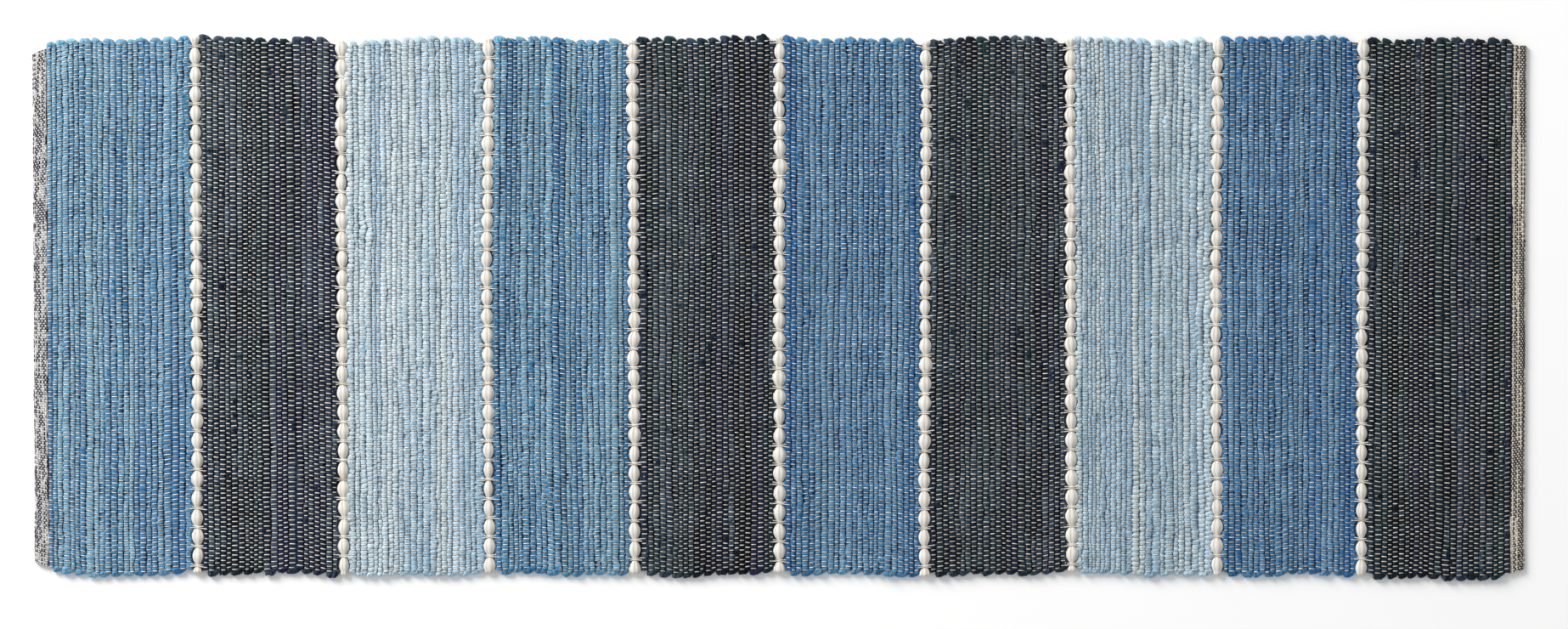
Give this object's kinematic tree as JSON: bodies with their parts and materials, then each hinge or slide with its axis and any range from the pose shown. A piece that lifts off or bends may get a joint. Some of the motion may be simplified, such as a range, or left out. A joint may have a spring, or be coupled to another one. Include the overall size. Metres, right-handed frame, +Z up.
{
  "type": "runner rug",
  "caption": "Long narrow rag rug in plain weave, striped across in blues, with white beaded cords woven between the stripes and a folded tweed hem at each end.",
  "frame": {"origin": "centre of the underside, on the floor", "axes": "+X along the runner's length, +Y across it, +Z up out of its face"},
  "size_m": [1.8, 0.65, 0.009],
  "materials": {
    "medium_blue_rag": "crumpled cotton rag strip, medium blue, matt, lighter at the folds",
    "dark_navy_rag": "crumpled cotton rag strip, dark navy to charcoal, matt, worn pale in places",
    "light_blue_rag": "crumpled cotton rag strip, pale sky blue, matt",
    "white_roving": "loosely spun warm white cotton roving with grooves along it, matt",
    "cotton_warp": "thin twisted cream cotton thread, matt",
    "hem_cloth": "fine plain-weave tweed of cream, grey, navy and brown yarn, matt",
    "hem_thread": "cream cotton sewing thread, matt"
  },
  "bodies": {
    "band_01": {"rag_weft_01": "medium_blue_rag", "warp_01": "cotton_warp", "beaded_cord_01": "white_roving", "hem_left": "hem_cloth", "hem_thread_left": "hem_thread"},
    "band_02": {"rag_weft_02": "dark_navy_rag", "warp_02": "cotton_warp", "beaded_cord_02": "white_roving"},
    "band_03": {"rag_weft_03": "light_blue_rag", "warp_03": "cotton_warp", "beaded_cord_03": "white_roving"},
    "band_04": {"rag_weft_04": "medium_blue_rag", "warp_04": "cotton_warp", "beaded_cord_04": "white_roving"},
    "band_05": {"rag_weft_05": "dark_navy_rag", "warp_05": "cotton_warp", "beaded_cord_05": "white_roving"},
    "band_06": {"rag_weft_06": "medium_blue_rag", "warp_06": "cotton_warp", "beaded_cord_06": "white_roving"},
    "band_07": {"rag_weft_07": "dark_navy_rag", "warp_07": "cotton_warp", "beaded_cord_07": "white_roving"},
    "band_08": {"rag_weft_08": "light_blue_rag", "warp_08": "cotton_warp", "beaded_cord_08": "white_roving"},
    "band_09": {"rag_weft_09": "medium_blue_rag", "warp_09": "cotton_warp", "beaded_cord_09": "white_roving"},
    "band_10": {"rag_weft_10": "dark_navy_rag", "warp_10": "cotton_warp", "hem_right": "hem_cloth", "hem_thread_right": "hem_thread"}
  },
  "joints": [
    {"name": "fold_01", "type": "hinge", "parent": "band_01", "child": "band_02", "pos_m": [-0.704, 0, 0.0045], "axis": [0, -1, 0], "range_deg": [-90, 90]},
    {"name": "fold_02", "type": "hinge", "parent": "band_02", "child": "band_03", "pos_m": [-0.528, 0, 0.0045], "axis": [0, 1, 0], "range_deg": [-90, 90]},
    {"name": "fold_03", "type": "hinge", "parent": "band_03", "child": "band_04", "pos_m": [-0.352, 0, 0.0045], "axis": [0, -1, 0], "range_deg": [-90, 90]},
    {"name": "fold_04", "type": "hinge", "parent": "band_04", "child": "band_05", "pos_m": [-0.176, 0, 0.0045], "axis": [0, 1, 0], "range_deg": [-90, 90]},
    {"name": "fold_05", "type": "hinge", "parent": "band_05", "child": "band_06", "pos_m": [0, 0, 0.0045], "axis": [0, -1, 0], "range_deg": [-90, 90]},
    {"name": "fold_06", "type": "hinge", "parent": "band_06", "child": "band_07", "pos_m": [0.176, 0, 0.0045], "axis": [0, 1, 0], "range_deg": [-90, 90]},
    {"name": "fold_07", "type": "hinge", "parent": "band_07", "child": "band_08", "pos_m": [0.352, 0, 0.0045], "axis": [0, -1, 0], "range_deg": [-90, 90]},
    {"name": "fold_08", "type": "hinge", "parent": "band_08", "child": "band_09", "pos_m": [0.528, 0, 0.0045], "axis": [0, 1, 0], "range_deg": [-90, 90]},
    {"name": "fold_09", "type": "hinge", "parent": "band_09", "child": "band_10", "pos_m": [0.704, 0, 0.0045], "axis": [0, -1, 0], "range_deg": [-90, 90]}
  ]
}
